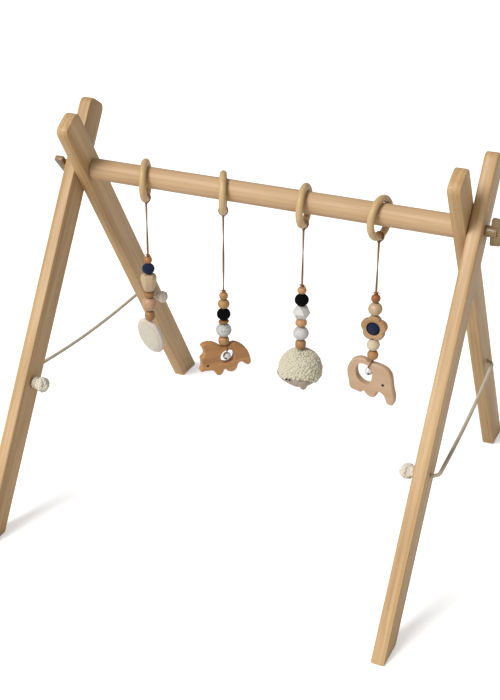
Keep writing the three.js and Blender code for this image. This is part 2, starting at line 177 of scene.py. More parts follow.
def smooth_path(points, per_span, closed=False):
    """A Catmull-Rom curve through the points."""
    points = [Vector(p) for p in points]
    count = len(points)
    spans = count if closed else count - 1
    made = []
    for i in range(spans):
        if closed:
            a, b, c, d = (points[(i + k) % count] for k in (-1, 0, 1, 2))
        else:
            b, c = points[i], points[i + 1]
            a = points[i - 1] if i else 2 * b - c
            d = points[i + 2] if i + 2 < count else 2 * c - b
        for k in range(per_span):
            t = k / per_span
            made.append(
                0.5 * (2 * b + (c - a) * t + (2 * a - 5 * b + 4 * c - d) * t * t
                       + (3 * b - a - 3 * c + d) * t * t * t)
            )
    if not closed:
        made.append(points[-1])
    return made


def evenly(path, step):
    """The same line with points about one step apart."""
    lengths = [(b - a).length for a, b in zip(path, path[1:])]
    total = sum(lengths)
    count = max(2, round(total / step))
    made, i, before = [], 0, 0.0
    for k in range(count + 1):
        target = total * k / count
        while i < len(lengths) - 1 and before + lengths[i] < target:
            before += lengths[i]
            i += 1
        share = (target - before) / lengths[i] if lengths[i] else 0
        made.append(path[i].lerp(path[i + 1], min(1, share)))
    return made


def frames_along(path, closed=False):
    """For each point its direction and two directions across, without sudden twists."""
    count = len(path)
    ahead = []
    for i in range(count):
        after = path[(i + 1) % count] if closed or i < count - 1 else path[i]
        before = path[i - 1] if closed or i else path[i]
        ahead.append((after - before).normalized())
    across = [ahead[0].orthogonal().normalized()]
    for i in range(1, count):
        turn = ahead[i - 1].rotation_difference(ahead[i])
        across.append((turn @ across[-1]).normalized())
    if closed:
        last = ahead[-1].rotation_difference(ahead[0]) @ across[-1]
        side = ahead[0].cross(last)
        gap = math.atan2(across[0].dot(side), across[0].dot(last))
        for i in range(count):
            turn = Matrix.Rotation(gap * i / count, 3, ahead[i])
            across[i] = turn @ across[i]
    return [(t, n, t.cross(n)) for t, n in zip(ahead, across)]


def tube(path, radius, sides=10, closed=False):
    """A round tube; the radius is a number or a function of the share of the way along."""
    points = []
    count = len(path)
    for i, (centre, (_, across, side)) in enumerate(zip(path, frames_along(path, closed))):
        reach = radius(i / (count - 1)) if callable(radius) else radius
        for angle in circle(sides):
            points.append(centre + reach * (math.cos(angle) * across + math.sin(angle) * side))
    return points, ring_faces(count, sides, closed) + ([] if closed else end_faces(count, sides))


def strands(shape, path, count, offset, pitch, radius, sides=8, closed=False, phase=0.0):
    """Adds strands that are twisted round a line."""
    frames = frames_along(path, closed)
    travelled = [0.0]
    for a, b in zip(path, path[1:]):
        travelled.append(travelled[-1] + (b - a).length)
    if closed:
        total = travelled[-1] + (path[0] - path[-1]).length
        pitch = total / max(1, round(total / pitch))
    for start in circle(count):
        line = []
        for centre, (_, across, side), far in zip(path, frames, travelled):
            angle = phase + start + 2 * math.pi * far / pitch
            line.append(centre + offset * (math.cos(angle) * across + math.sin(angle) * side))
        shape.add(tube(line, radius, sides, closed))


def turned(profile, sides, swell=None):
    """A closed profile of (radius, height) turned about Z."""
    points = []
    for radius, height in profile:
        for angle in circle(sides):
            reach = radius + (swell(angle, height, radius) if swell else 0)
            points.append(polar(reach, angle, height))
    return points, ring_faces(len(profile), sides, True)


def ball(radii, across, up, swell=None):
    """A closed ellipsoid about Z with one point at each pole."""
    points = [(0, 0, -radii[2])]
    for j in range(1, up):
        for angle in circle(across):
            way = aim(angle, -math.pi / 2 + math.pi * j / up)
            grow = 1 + (swell(way) if swell else 0)
            points.append(tuple(grow * w * r for w, r in zip(way, radii)))
    points.append((0, 0, radii[2]))
    faces = [[1 + i for i in face] for face in ring_faces(up - 1, across)]
    last, top = len(points) - 1, 1 + (up - 2) * across
    for k in range(across):
        after = (k + 1) % across
        faces += [[0, 1 + after, 1 + k], [last, top + k, top + after]]
    return points, faces


def looking(direction):
    """Turns Z to a direction."""
    return Z_AXIS.rotation_difference(Vector(direction)).to_matrix().to_4x4()


def at(x, y, z, turn=None):
    place = Matrix.Translation((x, y, z))
    return place @ turn if turn else place


# ------ materials


def shade(colour):
    """A hexadecimal colour, as the eye reads it, turned to linear light; others are linear already."""
    if not isinstance(colour, str):
        return colour
    values = [int(colour[i : i + 2], 16) / 255 for i in (0, 2, 4)]
    return tuple(v / 12.92 if v <= 0.04045 else ((v + 0.055) / 1.055) ** 2.4 for v in values)


def dimmed(colour, share):
    return tuple(share * v for v in shade(colour))


class Finish:
    """One material, built node by node on a Principled shader."""

    def __init__(self, name, roughness, colour, **uniform):
        self.material = bpy.data.materials.new(name)
        self.material.use_nodes = True
        self.tree = self.material.node_tree
        self.shader = self.tree.nodes["Principled BSDF"]
        self.material.diffuse_color = (*shade(colour), 1)
        uniform |= {"Roughness": roughness, "Base_Color": (*shade(colour), 1)}
        for socket, value in uniform.items():
            self.feed(self.shader.inputs[socket.replace("_", " ")], value)

    def feed(self, socket, value):
        """Gives a socket a value, or what another node puts out."""
        if isinstance(value, bpy.types.NodeSocket):
            self.tree.links.new(value, socket)
        else:
            socket.default_value = value

    def node(self, kind, inputs=None, **settings):
        made = self.tree.nodes.new(kind)
        for key, value in settings.items():
            setattr(made, key, value)
        for key, value in (inputs or {}).items():
            self.feed(made.inputs[key], value)
        return made

    def coordinates(self, turn=(0, 0, 0), shift=(0, 0, 0), stretch=(1, 1, 1)):
        """The piece's own coordinates, turned first and stretched after."""
        source = self.node("ShaderNodeTexCoord").outputs["Object"]
        inputs = {"Vector": source, "Rotation": turn, "Location": shift}
        turned_to = self.node("ShaderNodeMapping", inputs).outputs[0]
        return self.node("ShaderNodeVectorMath", {0: turned_to, 1: stretch}, operation="MULTIPLY").outputs[0]

    def noise(self, where, scale, detail=4.0, rough=0.55, distortion=0.0):
        inputs = {"Vector": where, "Scale": scale, "Detail": detail}
        inputs |= {"Roughness": rough, "Distortion": distortion}
        return self.node("ShaderNodeTexNoise", inputs).outputs["Fac"]

    def wave(self, where, scale, **inputs):
        inputs = {key.replace("_", " "): value for key, value in inputs.items()}
        inputs |= {"Vector": where, "Scale": scale}
        return self.node("ShaderNodeTexWave", inputs, bands_direction="X").outputs["Fac"]

    def cells_under(self, where, scale, size):
        """Round spots of a size, one in each cell."""
        cells = self.node("ShaderNodeTexVoronoi", {"Vector": where, "Scale": scale}).outputs["Distance"]
        return self.maths("LESS_THAN", cells, size)

    def ramp(self, factor, *stops):
        made = self.node("ShaderNodeValToRGB", {"Fac": factor})
        elements = made.color_ramp.elements
        while len(elements) < len(stops):
            elements.new(0.5)
        for element, (place, colour) in zip(elements, stops):
            element.position = place
            value = (colour,) * 3 if isinstance(colour, (int, float)) else colour
            element.color = (*value, 1)
        return made.outputs["Color"]

    def blend(self, factor, a, b, kind="MIX"):
        made = self.node("ShaderNodeMix", data_type="RGBA", blend_type=kind)
        self.feed(made.inputs[0], factor)
        for socket, value in ((made.inputs[6], a), (made.inputs[7], b)):
            self.feed(socket, value if isinstance(value, bpy.types.NodeSocket) else (*shade(value), 1))
        return made.outputs[2]

    def over(self, factor, low, high, base, colour, most=1.0):
        """Lays a colour over a base, more of it as the factor goes from low to high."""
        return self.blend(self.ramp(factor, (low, 0.0), (high, most)), base, colour)

    def maths(self, operation, a, b=0.0):
        return self.node("ShaderNodeMath", {0: a, 1: b}, operation=operation).outputs[0]

    def pointed(self, *stops):
        """A ramp over how far a point is on an outer edge (over a half) or in a hollow (under it)."""
        return self.ramp(self.node("ShaderNodeNewGeometry").outputs["Pointiness"], *stops)

    def dress(self, colour, roughness=None, heights=()):
        """Links the colour, the roughness and one bump after another."""
        self.feed(self.shader.inputs["Base Color"], colour)
        if roughness is not None:
            self.feed(self.shader.inputs["Roughness"], roughness)
        normal = None
        for height, strength, distance in heights:
            inputs = {"Height": height, "Strength": strength, "Distance": distance}
            if normal is not None:
                inputs["Normal"] = normal
            normal = self.node("ShaderNodeBump", inputs).outputs["Normal"]
        if normal is not None:
            self.feed(self.shader.inputs["Normal"], normal)
        return self.material


BAND_SCALE, LINE_SCALE, PORE_SCALE, LAYER_SCALE = 42, 240, 1100, 48
YARN_SHINE = 0.12


def wood(name, light, dark, streak, turn=(0, 0, 0), size=1.0, contrast=1.0, rough=0.5, relief=1.0,
         shift=(0, 0, 0), coat=0.0):
    """Wood whose grain runs along Z of its turned coordinates; size 1 suits a leg."""
    finish = Finish(name, rough, light, Coat_Weight=coat, Coat_Roughness=0.35)
    broad, fine, pores, slow = (
        finish.coordinates(turn, shift, (1, 1, share)) for share in (0.09, 0.03, 0.055, 0.035)
    )
    bands = finish.noise(broad, BAND_SCALE / size, 3, 0.5, 0.6)
    lines = finish.noise(fine, LINE_SCALE / size, 5, 0.6, 0.3)
    layers = finish.wave(
        slow, LAYER_SCALE / size, Distortion=7.0, Detail=2.0, Detail_Scale=0.5, Detail_Roughness=0.6
    )
    dots = finish.noise(pores, PORE_SCALE / size, 2, 0.5)
    tint = finish.over(bands, 0.32, 0.7, light, dark)
    tint = finish.over(lines, 0.5, 0.76, tint, streak, 0.5 * contrast)
    layered = finish.ramp(layers, (0.6, 0.0), (0.95, 0.4 * contrast), (1.0, 0.05))
    tint = finish.blend(layered, tint, streak)
    tint = finish.over(dots, 0.62, 0.76, tint, streak, 0.5 * contrast)
    wear = finish.maths("MULTIPLY", finish.pointed((0.5, 0.0), (0.56, 1.0)), 0.12)
    tint = finish.blend(wear, tint, light, "SCREEN")
    roughness = finish.ramp(lines, (0.3, rough - 0.07), (0.75, rough + 0.14))
    return finish.dress(tint, roughness, ((lines, 0.22 * relief, 0.0006), (dots, 0.3 * relief, 0.0002)))


def silicone(name, colour, rough, mottle=0.12, coat=0.08):
    """Matt rubbery or lacquered bead: faint clouding and a very fine orange-peel skin."""
    finish = Finish(name, rough, colour, Coat_Weight=coat, Coat_Roughness=0.4)
    where = finish.coordinates()
    cloud = finish.noise(where, 160, 3)
    skin = finish.noise(where, 2600, 2)
    tint = finish.over(cloud, 0.35, 0.7, colour, dimmed(colour, 1 - mottle * 1.6))
    roughness = finish.ramp(cloud, (0.3, rough - 0.08), (0.7, rough + 0.1))
    return finish.dress(tint, roughness, ((skin, 0.16, 0.00015), (cloud, 0.1, 0.0004)))


def yarn(name, colour, dark, scale, fuzz, rough=0.95):
    """Spun fibre: fine fuzz, with painted shade that darkens the hollows between the stitches."""
    finish = Finish(
        name, rough, colour, Sheen_Weight=fuzz, Sheen_Roughness=0.6, Specular_IOR_Level=YARN_SHINE
    )
    fibres = finish.noise(finish.coordinates(stretch=(1, 1, 0.35)), scale, 4, 0.7, 1.5)
    cloud = finish.noise(finish.coordinates(), 90, 3)
    # painted shade: pointiness darkens the hollows between stitches towards the dark colour
    hollow = finish.pointed((0.40, 1.0), (0.50, 0.0))
    tint = finish.over(fibres, 0.3, 0.75, colour, dark, 0.75)
    tint = finish.over(cloud, 0.4, 0.8, tint, dark, 0.35)
    tint = finish.blend(finish.maths("MULTIPLY", hollow, 0.6), tint, dark)
    return finish.dress(tint, None, ((fibres, 0.55, 0.0004),))


def stone(name, colour, speck, bareness):
    """Pale stone-like bead with scattered dark specks and small pits."""
    finish = Finish(name, 0.5, colour, Coat_Weight=0.1)
    where = finish.coordinates()
    gate = finish.ramp(finish.noise(where, 210, 2), (bareness, 0.0), (bareness + 0.06, 1.0))
    kept = finish.maths("MULTIPLY", finish.cells_under(where, 560, 0.27), gate)
    marks = finish.maths("MAXIMUM", kept, finish.cells_under(where, 330, 0.2))
    cloud = finish.noise(where, 120, 3)
    base = finish.over(cloud, 0.35, 0.75, colour, dimmed(colour, 0.82))
    tint = finish.blend(finish.maths("MULTIPLY", marks, 0.85), base, speck)
    height = finish.maths("SUBTRACT", 1.0, marks)
    return finish.dress(tint, None, ((height, 0.5, 0.0003), (cloud, 0.1, 0.0003)))


def steel(name):
    """Bright steel with threads along X and light scuffs."""
    finish = Finish(name, 0.38, "b9b6ae", Metallic=1.0)
    threads = finish.wave(finish.coordinates(), 160.0)
    scuffs = finish.noise(finish.coordinates(stretch=(1, 0.1, 0.1)), 900, 3)
    tint = finish.over(scuffs, 0.4, 0.7, "c3c0b8", "8e8b84")
    return finish.dress(tint, finish.ramp(scuffs, (0.3, 0.28), (0.7, 0.5)), ((threads, 0.8, 0.0006),))


def plush(name, colour, dark):
    """Short pile: soft tufts, a velvety sheen and slightly darker partings."""
    finish = Finish(name, 1.0, colour, Sheen_Weight=0.8, Sheen_Roughness=0.45)
    where = finish.coordinates()
    tufts = finish.noise(where, 620, 5, 0.7, 0.8)
    pile = finish.noise(where, 3200, 3, 0.7)
    tint = finish.blend(finish.ramp(tufts, (0.3, 0.8), (0.62, 0.0)), colour, dark)
    tint = finish.over(finish.noise(where, 60, 3), 0.4, 0.75, tint, dark, 0.4)
    return finish.dress(tint, None, ((tufts, 0.5, 0.0009), (pile, 0.5, 0.0004)))


LEAN = math.radians(32)
QUARTER = math.pi / 2
LEG_TONES = ("bd9a6c", "a5804f", "7d5c38")
ALONG_X = (0, -QUARTER, 0)
BEAD_GRAIN = dict(turn=ALONG_X, size=0.35)
WOODS = {
    "front_leg": (*LEG_TONES, dict(turn=(LEAN, 0, 0))),
    "back_leg": (*LEG_TONES, dict(turn=(-LEAN, 0, 0), shift=(0.3, 0.1, 0))),
    "crossbar": ("bc9b75", "ae8c65", "8f6d47", dict(turn=ALONG_X, contrast=0.7, rough=0.55)),
    "ring": ("c3a578", "b59565", "98784a", dict(size=0.6, contrast=0.4, rough=0.42, relief=0.5)),
    "nut": ("8f7650", "755d3c", "54402a", dict(turn=ALONG_X, size=0.5, rough=0.34, coat=0.3)),
    "disc": ("a3713f", "85592f", "573719", BEAD_GRAIN),
    "brown": ("a87a4e", "8e6239", "5f4022", BEAD_GRAIN),
    "tan": ("ad7f50", "96693c", "704a26", BEAD_GRAIN),
    "light_tan": ("b08a58", "9d7746", "7d5a30", dict(size=0.35, contrast=0.5)),
    "pale_tan": ("c0956a", "a67a4c", "80592f", BEAD_GRAIN),
    "russet": ("9a5a30", "7e4522", "532b13", dict(rough=0.45, **BEAD_GRAIN)),
    "dinosaur": ("b3814f", "9f6c3c", "7b5028", dict(turn=(QUARTER, -QUARTER / 2, 0), size=0.6, contrast=0.8)),
    "elephant": ("b5977a", "a88868", "8d6c4a", dict(turn=ALONG_X, size=0.7, contrast=0.35)),
    "flower": ("ab8860", "98744c", "775533", dict(turn=ALONG_X, size=0.5, contrast=0.6)),
    # this dark wood serves the animals' scorched-in eyes and also the painted shade lining the flower's hole
    "burnt_and_shade": ("1d110a", "150b07", "0a0503", dict(size=0.3, rough=0.7)),
}
MATERIALS = {key: wood(key + "_wood", *tones, **more) for key, (*tones, more) in WOODS.items()}
MATERIALS |= {
    "steel": steel("stud_steel"),
    "rope": yarn("rope_cotton", "cbbfa8", "8f8068", 1500, 0.25),
    "knot": yarn("rope_knot_cotton", "ddd6c6", "b3a894", 1300, 0.35),
    "cord": yarn("cord_waxed", "9a6d42", "5c3d22", 3000, 0.08, 0.6),
    "navy": yarn("navy_yarn", "1c2a4d", "060a16", 2600, 0.08),
    "black": yarn("black_yarn", "050507", "010102", 2600, 0.0),
    "side_panel": yarn("plush_side", "dacdc0", "b8aa9b", 2600, 0.25),
    "wool": yarn("sheep_wool", "d0cab4", "bdb69b", 1700, 0.3),
    "grey_wool": yarn("sheep_grey_wool", "b5a592", "85776a", 1700, 0.3),
    "plush": plush("plush_pile", "c6bfae", "aaa290"),
    "caramel": silicone("caramel_lacquer", "a86c38", 0.42),
    "barrel": silicone("barrel_cream", "bda581", 0.5),
    "blush": silicone("blush_lacquer", "b68f6d", 0.5),
    "cream": silicone("cream_lacquer", "b89f7b", 0.48),
    "pale_cream": silicone("pale_cream_lacquer", "cdbb9e", 0.48),
    "white": silicone("white_silicone", "cdccc6", 0.5),
    "bell": silicone("bell_enamel", "cfd0cd", 0.3, 0.05, 0.3),
    # slot and hole: painted shade, grey and black marks standing for the dark inside seen through the bell's
    # openings
    "slot": silicone("bell_slot_painted_shade", "9d9c98", 0.5),
    "dot": silicone("bell_hole_painted_shade", "050404", 0.7, 0.1, 0.0),
    "bead_eye": silicone("bead_eye", "060505", 0.25, 0.1, 0.0),
    "pitted": stone("pitted_stone", "bdbcb8", "2a2624", 0.36),
    "speckled": stone("speckled_stone", "c2c0be", "6a6460", 0.56),
}


def bevelled(piece, width, segments, angle):
    """Rounds the edges that turn by more than the angle."""
    bevel = piece.modifiers.new("edge", "BEVEL")
    bevel.width = width
    bevel.segments = segments
    bevel.limit_method = "ANGLE"
    bevel.angle_limit = math.radians(angle)


def finish_node(name, material, width=0.0, angle=35):
    """Keeps a CAD node, joins its facets into smooth faces and gives it a material."""
    node = NODES[name]
    for slot in node.material_slots:
        slot.material = MATERIALS[material]
    if not node.material_slots:
        node.data.materials.append(MATERIALS[material])
    weld = node.modifiers.new("weld", "WELD")
    weld.merge_threshold = 0.00002
    if width:
        bevelled(node, width, 3, angle)
    add_smoothing(node, angle)


def smoothing_group():
    """Shades smooth all that turns by no more than an angle."""
    group = bpy.data.node_groups.new("smooth_by_angle", "GeometryNodeTree")
    for name, way, kind in (
        ("Geometry", "INPUT", "NodeSocketGeometry"),
        ("Angle", "INPUT", "NodeSocketFloat"),
        ("Geometry", "OUTPUT", "NodeSocketGeometry"),
    ):
        group.interface.new_socket(name, in_out=way, socket_type=kind)
    source, target = (group.nodes.new("NodeGroup" + kind) for kind in ("Input", "Output"))
    edge = group.nodes.new("GeometryNodeInputMeshEdgeAngle")
    compare = group.nodes.new("FunctionNodeCompare")
    by_face, by_edge = (group.nodes.new("GeometryNodeSetShadeSmooth") for _ in range(2))
    compare.data_type = "FLOAT"
    compare.operation = "LESS_EQUAL"
    by_face.domain = "FACE"
    by_edge.domain = "EDGE"
    for a, out, b, into in (
        (source, "Geometry", by_face, "Geometry"),
        (by_face, "Geometry", by_edge, "Geometry"),
        (edge, "Unsigned Angle", compare, "A"),
        (source, "Angle", compare, "B"),
        (compare, "Result", by_edge, "Shade Smooth"),
        (by_edge, "Geometry", target, "Geometry"),
    ):
        group.links.new(a.outputs[out], b.inputs[into])
    return group


SMOOTHING = smoothing_group()


def add_smoothing(piece, angle=35):
    modifier = piece.modifiers.new("smooth", "NODES")
    modifier.node_group = SMOOTHING
    key = next(i.identifier for i in SMOOTHING.interface.items_tree if i.name == "Angle")
    modifier[key] = math.radians(angle)

# ------ spreader ropes

ROPE_RADIUS = 0.0025
ROPE_LAY = 4.4
STRAND_FIT = 1.06
ROPE_ROUTE = [
    (0.2635, -0.155, 0.182), (0.2705, -0.155, 0.182), (0.2775, -0.155, 0.182),
    (0.2826, -0.1539, 0.1819), (0.2864, -0.1508, 0.1818), (0.2883, -0.1463, 0.1815),
    (0.2882, -0.138, 0.1808), (0.2866, -0.110, 0.1786), (0.2845, -0.075, 0.1763),
    (0.2823, -0.038, 0.1748), (0.2801, 0.0, 0.1742), (0.2779, 0.038, 0.1748),
    (0.2757, 0.075, 0.1763), (0.2736, 0.110, 0.1786), (0.2720, 0.137, 0.1808),
    (0.2713, 0.1463, 0.1815), (0.2694, 0.1508, 0.1818), (0.2656, 0.1539, 0.1819),
    (0.2610, 0.155, 0.182), (0.2535, 0.155, 0.182), (0.2465, 0.155, 0.182),
]
KNOT_FORMS = {
    ("left", "front"): dict(short=0.0, size=1.0),
    ("left", "back"): dict(short=-0.0015, size=0.86),
    ("right", "front"): dict(short=0.0026, size=0.95),
}
KNOT_THICK = 0.0029
KNOT_TURNS = [((1, 0.35, 0.2), 0.0), ((0.35, 1, -0.3), 1.3), ((0.3, -0.25, 1), 2.4), ((0.8, -0.7, 0.5), 3.9)]


def rope_strands(shape, path, closed=False, radius=ROPE_RADIUS):
    strand = radius / (1 + 1 / math.sin(math.pi / 3)) * STRAND_FIT
    strands(shape, path, 3, radius - strand, ROPE_LAY * radius, strand, 8, closed)


def off_leg(face, toward, y, z, size=1.0):
    """Gives a function that places a point by how far it is out from the leg's face, across and up."""

    def out(along, across, up):
        return Vector((face + toward * size * along, y + size * across, z + size * up))

    return out


def wavy_turn(out, count, reach, stand, sway, waves, phase):
    """One turn about the hole that sways to and from the leg."""
    return [
        out(stand + sway * math.sin(waves * a + phase), reach * math.cos(a), reach * math.sin(a))
        for a in circle(count)
    ]


def rope_knot(name, face, toward, y, z, short, size):
    """A thick stopper knot: a collar against the leg, then a ball of crossing turns.

    It starts at the leg's face and stands out along X by the sign of toward; short pulls the
    ball in over its collar.
    """
    shape = Shape()
    thick = KNOT_THICK * size
    out = off_leg(face, toward, y, z, size)
    rope_strands(shape, wavy_turn(out, 40, 0.0052, 0.0036, 0.0011, 1, 0.6), True, thick)
    core = [out(along, 0, 0) for along in (0.0004, 0.004, 0.008, 0.012)]
    rope_strands(shape, evenly(core, 0.0009))
    middle = Vector((0.0142 - short, 0, -0.0008))
    shape.add(ball((0.0076 * size, 0.0080 * size, 0.0080 * size), 32, 20), 0, at(*out(*middle)))
    for normal, phase in KNOT_TURNS:
        place = looking(normal)
        loop = []
        for angle in circle(72):
            reach = 0.0071 + 0.0005 * math.sin(3 * angle + phase)
            sway = 0.0012 * math.sin(2 * angle + phase)
            spot = place @ polar(reach, angle, sway)
            loop.append(out(middle.x + spot.x, middle.y + spot.y * 1.05, middle.z + spot.z * 1.05))
        rope_strands(shape, loop, True, thick)
    return shape.piece(name, "knot")


def tight_knot(name, *place):
    """A small flat knot drawn hard against the leg round its hole."""
    shape = Shape()
    for reach, stand, phase in ((0.0034, 0.0018, 0.0), (0.0012, 0.0024, 1.2)):
        rope_strands(shape, wavy_turn(off_leg(*place), 44, reach, stand, 0.0004, 2, phase), True, 0.0018)
    return shape.piece(name, "knot")


for label, sign in (("left", -1), ("right", 1)):
    route = [Vector((sign * x, y, z)) for x, y, z in ROPE_ROUTE]
    line = smooth_path(route, 12)
    shape = Shape()
    rope_strands(shape, evenly(line, 0.0007))
    rope = shape.piece(label + "_rope", "rope")
    back_body = label + "_back_frame"
    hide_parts(label + "_spreader_rope")
    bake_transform(rope)
    for end, body, face, y in (("front", "frame", 0.2632, -0.155), ("back", back_body, 0.2462, 0.155)):
        place = (f"{label}_{end}_knot", sign * face, -sign, y, 0.182)
        form = KNOT_FORMS.get((label, end))
        knot = rope_knot(*place, **form) if form else tight_knot(*place)
        hand_over(knot, body, "rope", f"{label}_{end}_rope_knot")
    tuple(route[0])
    [tuple(p) for p in evenly(line, 0.004)]

# ------ toy cords

CORD_TOP = 0.3939
CORD_STEPS = 120
TOYS = {
    "toy1": dict(x=-0.1695, yaw=19, low=0.2234, top_bead="toy1_bead_1_caramel"),
    "toy2": dict(x=-0.0578, yaw=23, low=0.2098, top_bead="toy2_bead_1_tan"),
    "toy3": dict(x=0.0528, yaw=7, low=0.2271, top_bead="toy3_bead_1_tan"),
    "toy4": dict(x=0.1515, yaw=-10, low=0.2296, top_bead="toy4_bead_1_russet"),
}
RING_CENTRE, RING_MIDLINE, RING_TUBE = 0.4251, 0.0238, 0.0046
STRAND_RADIUS = 0.00055


def cord_knot(name, x, z, seed, body):
    """A small tight knot with two short tails."""
    picker = random.Random(seed)
    shape = Shape()
    line = []
    for t in circle(48):
        right = 0.0007 * (math.sin(t) + 2 * math.sin(2 * t))
        back = 0.0007 * (math.cos(t) - 2 * math.cos(2 * t))
        line.append(Vector((x + right, back, z + 0.0011 * math.sin(3 * t))))
    strands(shape, line, 2, 0.00042, 0.005, STRAND_RADIUS, 7, True)
    start = Vector((x, 0, z))
    for side in (-1, 1):
        angle = picker.uniform(-0.5, 0.5)
        out = Vector((side * math.cos(angle), math.sin(angle), 0))
        sag = -picker.uniform(0.001, 0.0022)
        spots = ((0.0008, 0), (0.0026, 0.0008), (0.0042, -0.0002), (0.0050, sag))
        tail = smooth_path([start + far * out + Vector((0, 0, lift)) for far, lift in spots], 5)
        shape.add(tube(tail, lambda t: 0.0006 * (1 - 0.3 * t), 7))
    return hand_over(shape.piece(name, "cord"), body, "waxed_cord")


def ring_wrap(name, x, yaw):
    """Two turns of cord round the bottom of a ring, drawn together in a knot."""
    shape = Shape()
    axis = aim(yaw, 0)
    along = Vector((-math.sin(yaw), math.cos(yaw), 0))
    centre = Vector((x, 0, RING_CENTRE - RING_MIDLINE))
    for offset in (-0.00125, 0.00125):
        line = []
        for angle in circle(64):
            under = max(0.0, -math.sin(angle))
            reach = 0.0057 + 0.0009 * under**6
            pinch = 1 - 0.7 * under**8
            across = math.cos(angle) * axis + math.sin(angle) * Z_AXIS
            line.append(centre + reach * across + offset * pinch * along)
        strands(shape, line, 2, 0.00045, 0.006, STRAND_RADIUS, 7, True)
    steps, turns, radius = 90, 3, 0.0013
    wrap = [
        centre + polar(radius, 2 * math.pi * turns * k / steps, -0.0057 - 0.0030 * k / (steps - 1))
        for k in range(steps)
    ]
    shape.add(tube(wrap, 0.0007, 7))
    return shape.piece(name, "cord")


for toy, facts in TOYS.items():
    x, low, yaw = facts["x"], facts["low"], math.radians(facts["yaw"])
    top = CORD_TOP + 0.001
    line = [Vector((x, 0, top - (top - low) * k / CORD_STEPS)) for k in range(CORD_STEPS + 1)]
    shape = Shape()
    strands(shape, line, 2, 0.00064, 0.13, 0.00082, phase=0.4)
    cord = shape.piece(toy + "_hanging_cord", "cord")
    hand_over(cord, toy + "_string", "waxed_cord", toy + "_cord")
    bead_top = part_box(facts["top_bead"])[1][2]
    knot = cord_knot(toy + "_top_knot", x, bead_top + 0.0017, 3 + round(1000 * x), toy + "_string")
    [tuple(p) for p in line[::4]]
    hand_over(ring_wrap(toy + "_ring_wrap", x, yaw), toy + "_ring_body", "waxed_cord", toy + "_cord_loop")

# ------ frame and rings

for side in ("left_", "right_"):
    finish_node(side + "front_leg", "front_leg")
    finish_node(side + "back_leg", "back_leg")
    finish_node(side + "stud", "steel")
    finish_node(side + "wing_nut", "nut", 0.0004)
finish_node("crossbar", "crossbar")

profile = [(RING_MIDLINE + RING_TUBE * math.cos(a), RING_TUBE * math.sin(a)) for a in circle(32)]
for toy, facts in TOYS.items():
    place = at(facts["x"], 0, RING_CENTRE, looking(aim(math.radians(facts["yaw"]), 0)))
    ring = Shape().add(turned(profile, 128), place=place).piece(toy + "_wooden_ring", "ring")
    hand_over(ring, toy + "_ring_body", "pale_wood", toy + "_ring")

# ------ beads

BORE = 0.0013
KNIT_STEPS, KNIT_SIDES = 84, 200


def bead_profile(radius, low, high, fullness=2.0, lip=0.0008, steps=30):
    """Outline of a rounded bead with a softened bore; fullness 2 is a ball, more is squarer."""
    half, middle = (high - low) / 2, (high + low) / 2
    flat = BORE + lip
    reach = math.acos((flat / radius) ** (fullness / 2))
    outer = []
    for k in range(steps + 1):
        t = -reach + 2 * reach * k / steps
        r = radius * math.cos(t) ** (2 / fullness)
        z = half * (abs(math.sin(t)) / math.sin(reach)) ** (2 / fullness) * (1 if t > 0 else -1)
        outer.append((r, middle + z))
    inner = [
        (BORE + 0.3 * lip, high - 0.1 * lip),
        (BORE, high - 1.2 * lip),
        (BORE, low + 1.2 * lip),
        (BORE + 0.3 * lip, low + 0.1 * lip),
    ]
    return outer + inner


def stitches(radius, low, high, depth=0.0007, row=0.0030, wide=0.0030):
    """Rows of crochet stitches, every second row moved on by half a stitch."""
    rows = max(3, round((high - low) * 1.25 / row))
    around = max(8, round(2 * math.pi * radius / wide))

    def swell(angle, height, reach):
        if reach < BORE + 0.0012:
            return 0
        share = (height - low) / (high - low) * rows
        band = math.floor(share)
        up = abs(math.sin(math.pi * share)) ** 0.7
        lean = 0.35 * (share - band)
        round_it = abs(math.sin(around / 2 * angle + math.pi / 2 * (band % 2) + lean)) ** 0.7
        return depth * (up * round_it - 0.8) * min(1, (reach - BORE) / (0.5 * radius))

    return swell


def barrel_points(low, high, radius, sides=6):
    """A tulip-shaped bead: a broad flat top, wide shoulders and panels that narrow downwards."""
    rows = [(0.40, 0.0), (0.60, 0.06), (0.84, 0.32), (0.97, 0.62), (1.0, 0.86), (0.84, 0.985), (0.4, 1.0)]
    points = []
    for share, lift in rows:
        for k in range(sides):
            angle = 2 * math.pi * (k + 0.5) / sides
            points.append(polar(share * radius, angle, low + (high - low) * lift))
    return points, ring_faces(len(rows), sides) + end_faces(len(rows), sides)


def gem_points(low, high, radius):
    """A fourteen-faced bead: six corners round the middle, a triangle above and one below."""
    half, middle = (high - low) / 2, (high + low) / 2
    points = [polar(radius, math.pi * (k / 3 + 1 / 18), middle) for k in range(6)]
    for start, lift in ((1 / 6, half), (1 / 2, -half)):
        for k in range(3):
            points.append(polar(0.6 * radius, math.pi * (start + 2 * k / 3 + 1 / 18), middle + lift))
    faces = [[6, 7, 8], [11, 10, 9]]
    for k in range(3):
        top, next_top = 6 + k, 6 + (k + 1) % 3
        low_one, next_low = 9 + k, 9 + (k + 1) % 3
        faces.append([2 * k, (2 * k + 1) % 6, top])
        faces.append([(2 * k + 1) % 6, (2 * k + 2) % 6, next_top, top])
        faces.append([(2 * k + 2) % 6, (2 * k + 1) % 6, low_one])
        faces.append([(2 * k + 3) % 6, (2 * k + 2) % 6, low_one, next_low])
    return points, faces


ROUND, KNIT, BARREL, GEM = "round", "knit", "barrel", "gem"
EDGE_CUTS = {BARREL: 0.0011, GEM: 0.0007}
